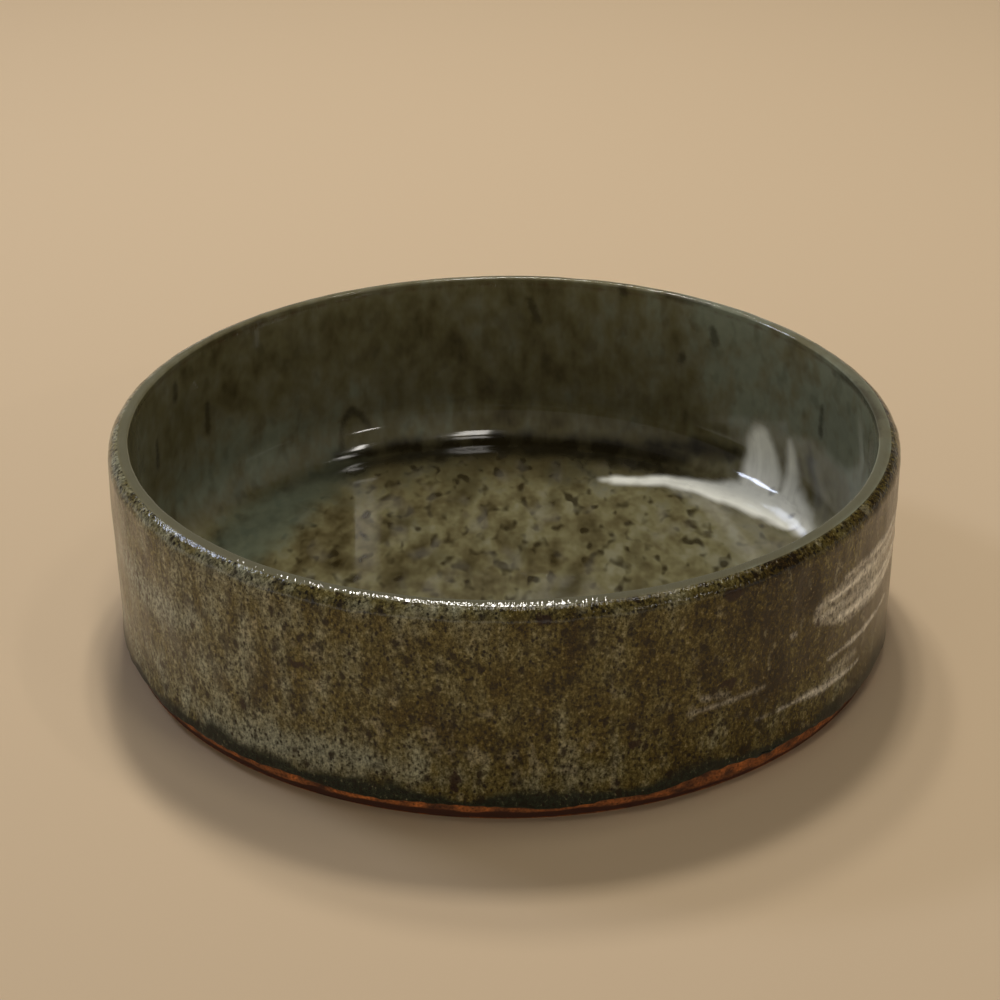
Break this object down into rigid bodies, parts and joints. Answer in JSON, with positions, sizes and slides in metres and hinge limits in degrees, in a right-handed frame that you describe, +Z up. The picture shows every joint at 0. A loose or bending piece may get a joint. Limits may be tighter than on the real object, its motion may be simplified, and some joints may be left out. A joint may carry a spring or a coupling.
{
  "type": "ikebana suiban",
  "caption": "Round, shallow, straight-sided stoneware flower basin with a rounded lip, ash-type glaze, brushed white slip and a bare bevelled foot.",
  "frame": {"origin": "middle of the standing ring, on the surface that the basin stands on", "axes": "+Z up along the basin's axis; -Y is the side the picture shows, +X to its right, where the white slip is"},
  "size_m": [0.25, 0.25, 0.068],
  "materials": {
    "stoneware": "bare toasted stoneware, matt",
    "white_slip": "brushed white slip",
    "glaze_inside": "glossy olive ash-type glaze",
    "glaze_outside": "satin olive-brown ash-type glaze with iron specks"
  },
  "bodies": {
    "root": {"floor_slab": "stoneware", "wall": "stoneware", "corner_coil": "stoneware", "slip_inside": "white_slip", "slip_outside": "white_slip", "glaze_inside": "glaze_inside", "glaze_outside": "glaze_outside"}
  },
  "joints": []
}
